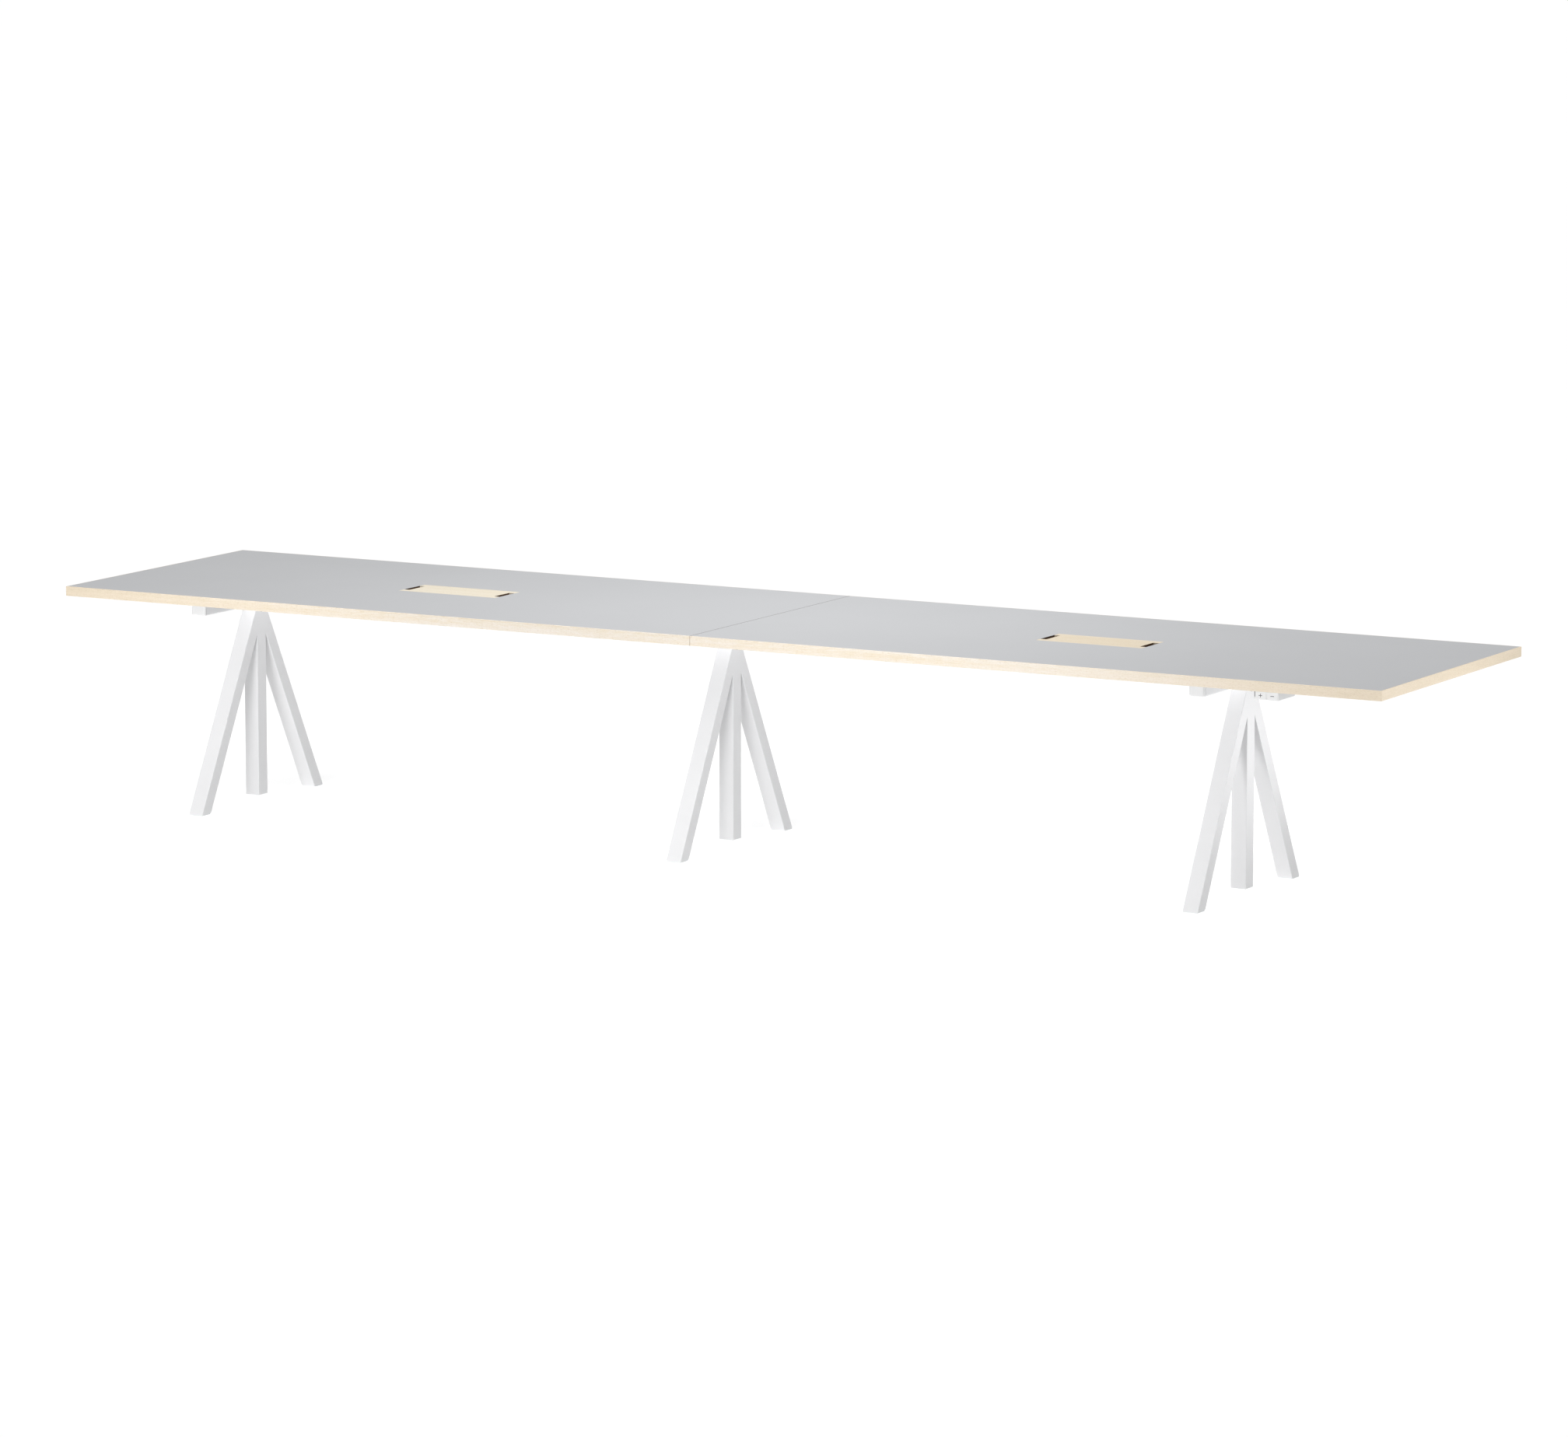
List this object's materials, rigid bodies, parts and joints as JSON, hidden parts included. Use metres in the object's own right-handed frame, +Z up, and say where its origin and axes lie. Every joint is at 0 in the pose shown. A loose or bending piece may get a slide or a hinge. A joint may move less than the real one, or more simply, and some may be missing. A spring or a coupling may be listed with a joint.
{
  "type": "height-adjustable conference table",
  "caption": "Long conference table with a linoleum top in halves on A-shaped trestles, lifting columns, lift-out cable hatches and a control panel under the front edge.",
  "frame": {"origin": "on the floor under the middle of the table top, with the table at its lowest setting", "axes": "+X along the table, towards the control panel's end; +Y to the rear, -Y is the side with the control panel; +Z up"},
  "size_m": [4.5, 1, 0.72],
  "materials": {
    "linoleum": "satin grey furniture linoleum",
    "ash_lipping": "clear matt lacquered ash, grain along the edge",
    "ash_hatch": "clear matt lacquered ash veneer",
    "smoked_board": "dark stained fibreboard, matt",
    "core_board": "fibreboard with a grey backing laminate",
    "white_steel": "fine white powder coat, satin",
    "white_plastic": "moulded, satin",
    "pale_plastic": "moulded polyamide, matt",
    "black_plastic": "moulded, fine texture",
    "bright_steel": "zinc plated",
    "motor_case": "dark grey paint"
  },
  "bodies": {
    "base": {"front_leg_left": "white_steel", "rear_leg_left": "white_steel", "foot_glide_front_left": "pale_plastic", "foot_glide_rear_left": "pale_plastic", "column_tube_left": "white_steel", "guide_sleeve_left": "pale_plastic", "push_tube_left": "bright_steel", "front_leg_middle": "white_steel", "rear_leg_middle": "white_steel", "foot_glide_front_middle": "pale_plastic", "foot_glide_rear_middle": "pale_plastic", "column_tube_middle": "white_steel", "guide_sleeve_middle": "pale_plastic", "push_tube_middle": "bright_steel", "front_leg_right": "white_steel", "rear_leg_right": "white_steel", "foot_glide_front_right": "pale_plastic", "foot_glide_rear_right": "pale_plastic", "column_tube_right": "white_steel", "guide_sleeve_right": "pale_plastic", "push_tube_right": "bright_steel"},
    "top": {"inner_column_left": "white_steel", "arm_left": "white_steel", "gear_motor_left": "motor_case", "inner_column_middle": "white_steel", "arm_middle": "white_steel", "gear_motor_middle": "motor_case", "inner_column_right": "white_steel", "arm_right": "white_steel", "gear_motor_right": "motor_case", "arm_cap_front_left": "white_plastic", "arm_cap_rear_left": "white_plastic", "top_board_left": "core_board", "linoleum_left": "linoleum", "edge_front_left": "ash_lipping", "edge_rear_left": "ash_lipping", "edge_end_left": "ash_lipping", "hatch_lining_left": "smoked_board", "cable_duct_left": "white_steel", "arm_cap_front_right": "white_plastic", "arm_cap_rear_right": "white_plastic", "top_board_right": "core_board", "linoleum_right": "linoleum", "edge_front_right": "ash_lipping", "edge_rear_right": "ash_lipping", "edge_end_right": "ash_lipping", "hatch_lining_right": "smoked_board", "cable_duct_right": "white_steel", "seam_plate_front": "bright_steel", "seam_plate_rear": "bright_steel", "control_panel": "white_plastic", "control_box": "black_plastic"},
    "left_lid": {"hatch_lid_left": "ash_hatch"},
    "right_lid": {"hatch_lid_right": "ash_hatch"},
    "raise_button": {"raise_button": "white_plastic"},
    "lower_button": {"lower_button": "white_plastic"},
    "left_spindle": {"spindle_left": "bright_steel"},
    "middle_spindle": {"spindle_middle": "bright_steel"},
    "right_spindle": {"spindle_right": "bright_steel"}
  },
  "joints": [
    {"name": "height", "type": "slide", "parent": "base", "child": "top", "axis": [0, 0, 1], "range_m": [0, 0.47]},
    {"name": "left_spindle_turn", "type": "hinge", "parent": "top", "child": "left_spindle", "pos_m": [-1.875, 0, 0.6], "axis": [0, 0, 1], "range_deg": [0, 14101]},
    {"name": "middle_spindle_turn", "type": "hinge", "parent": "top", "child": "middle_spindle", "pos_m": [-0.145, 0, 0.6], "axis": [0, 0, 1], "range_deg": [0, 14101]},
    {"name": "right_spindle_turn", "type": "hinge", "parent": "top", "child": "right_spindle", "pos_m": [1.585, 0, 0.6], "axis": [0, 0, 1], "range_deg": [0, 14101]},
    {"name": "left_lid_lift", "type": "slide", "parent": "top", "child": "left_lid", "axis": [0, 0, 1], "range_m": [0, 0.12]},
    {"name": "right_lid_lift", "type": "slide", "parent": "top", "child": "right_lid", "axis": [0, 0, 1], "range_m": [0, 0.12]},
    {"name": "raise_press", "type": "slide", "parent": "top", "child": "raise_button", "axis": [0, 1, 0], "range_m": [0, 0.0015], "stiffness_N_per_m": 600, "springref_m": -0.001},
    {"name": "lower_press", "type": "slide", "parent": "top", "child": "lower_button", "axis": [0, 1, 0], "range_m": [0, 0.0015], "stiffness_N_per_m": 600, "springref_m": -0.001}
  ],
  "couplings": [
    {"joint": "left_spindle_turn", "follows": "height", "rad_per_m": 523.6},
    {"joint": "middle_spindle_turn", "follows": "height", "rad_per_m": 523.6},
    {"joint": "right_spindle_turn", "follows": "height", "rad_per_m": 523.6}
  ]
}
